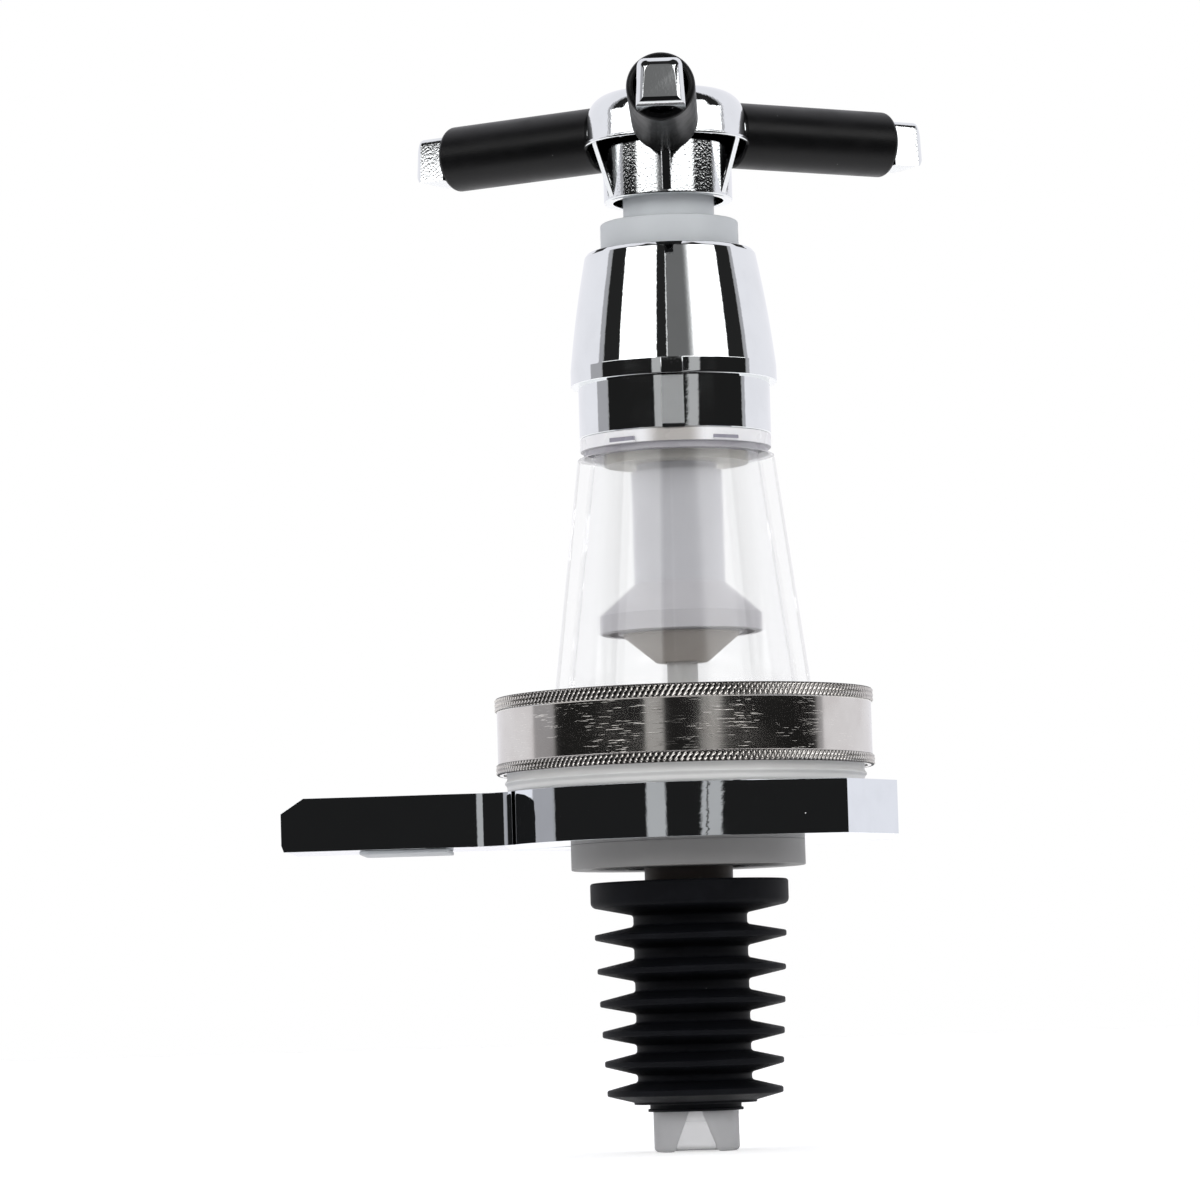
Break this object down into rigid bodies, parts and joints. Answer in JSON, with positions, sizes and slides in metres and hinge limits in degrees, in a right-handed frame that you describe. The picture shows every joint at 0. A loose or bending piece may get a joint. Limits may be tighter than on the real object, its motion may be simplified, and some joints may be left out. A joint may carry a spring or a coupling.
{
  "type": "liquor optic",
  "caption": "Spirit measure with a ribbed bottle stopper, bracket arm, clear conical chamber and a sprung push crown with radial arms that shuts the inlet and opens the outlet.",
  "frame": {"origin": "on the axis, in the plane where the bottle's lip meets the underside of the stopper flange", "axes": "+Z along the axis from the stopper to the push crown (down in use, up in the picture), -X along the bracket arm, -Y towards the front arm of the crown"},
  "size_m": [0.0991, 0.0722, 0.1589],
  "materials": {
    "stopper_rubber": "matte moulded black rubber",
    "spigot_plastic": "satin translucent grey-white plastic",
    "grey_plastic": "satin light grey plastic",
    "bracket_chrome": "bright chrome plate on a cast bracket",
    "white_plastic": "satin white plastic",
    "seal_rubber": "soft beige silicone rubber",
    "black_rubber": "soft black rubber",
    "plated_brass": "nickel plate over turned brass, brushed round the ring",
    "clear_plastic": "clear polished plastic",
    "cream_plastic": "cream acetal",
    "plated_plastic": "bright chrome plate on moulded plastic",
    "steel": "drawn stainless steel",
    "grip_rubber": "satin black rubber sleeve"
  },
  "bodies": {
    "measure": {"stopper": "stopper_rubber", "spigot_tube": "spigot_plastic", "clamp_nut": "grey_plastic", "bracket_plate": "bracket_chrome", "bracket_pad": "grey_plastic", "chamber_cap": "white_plastic", "stem_guide": "white_plastic", "inlet_seat": "seal_rubber", "chamber_gasket": "black_rubber", "ring_nut": "plated_brass", "chamber": "clear_plastic", "guide_bush": "cream_plastic", "outlet_seal": "black_rubber", "outlet_housing": "plated_plastic", "shroud": "plated_plastic", "spring_seat": "steel", "return_spring": "steel"},
    "slider": {"spring_cap": "grey_plastic"},
    "plunger": {"plunger_tube": "white_plastic", "valve_bell": "grey_plastic", "inlet_seal": "seal_rubber", "valve_stem": "white_plastic", "crown": "plated_plastic", "grip_front": "grip_rubber", "grip_left": "grip_rubber", "grip_right": "grip_rubber"}
  },
  "joints": [
    {"name": "plunger_slide", "type": "slide", "parent": "measure", "child": "slider", "axis": [0, 0, -1], "range_m": [0, 0.0062], "stiffness_N_per_m": 1500, "springref_m": -0.006, "deforming": ["return_spring"]},
    {"name": "crown_turn", "type": "hinge", "parent": "slider", "child": "plunger", "pos_m": [0, 0, 0.1], "axis": [0, 0, 1], "continuous": true}
  ]
}
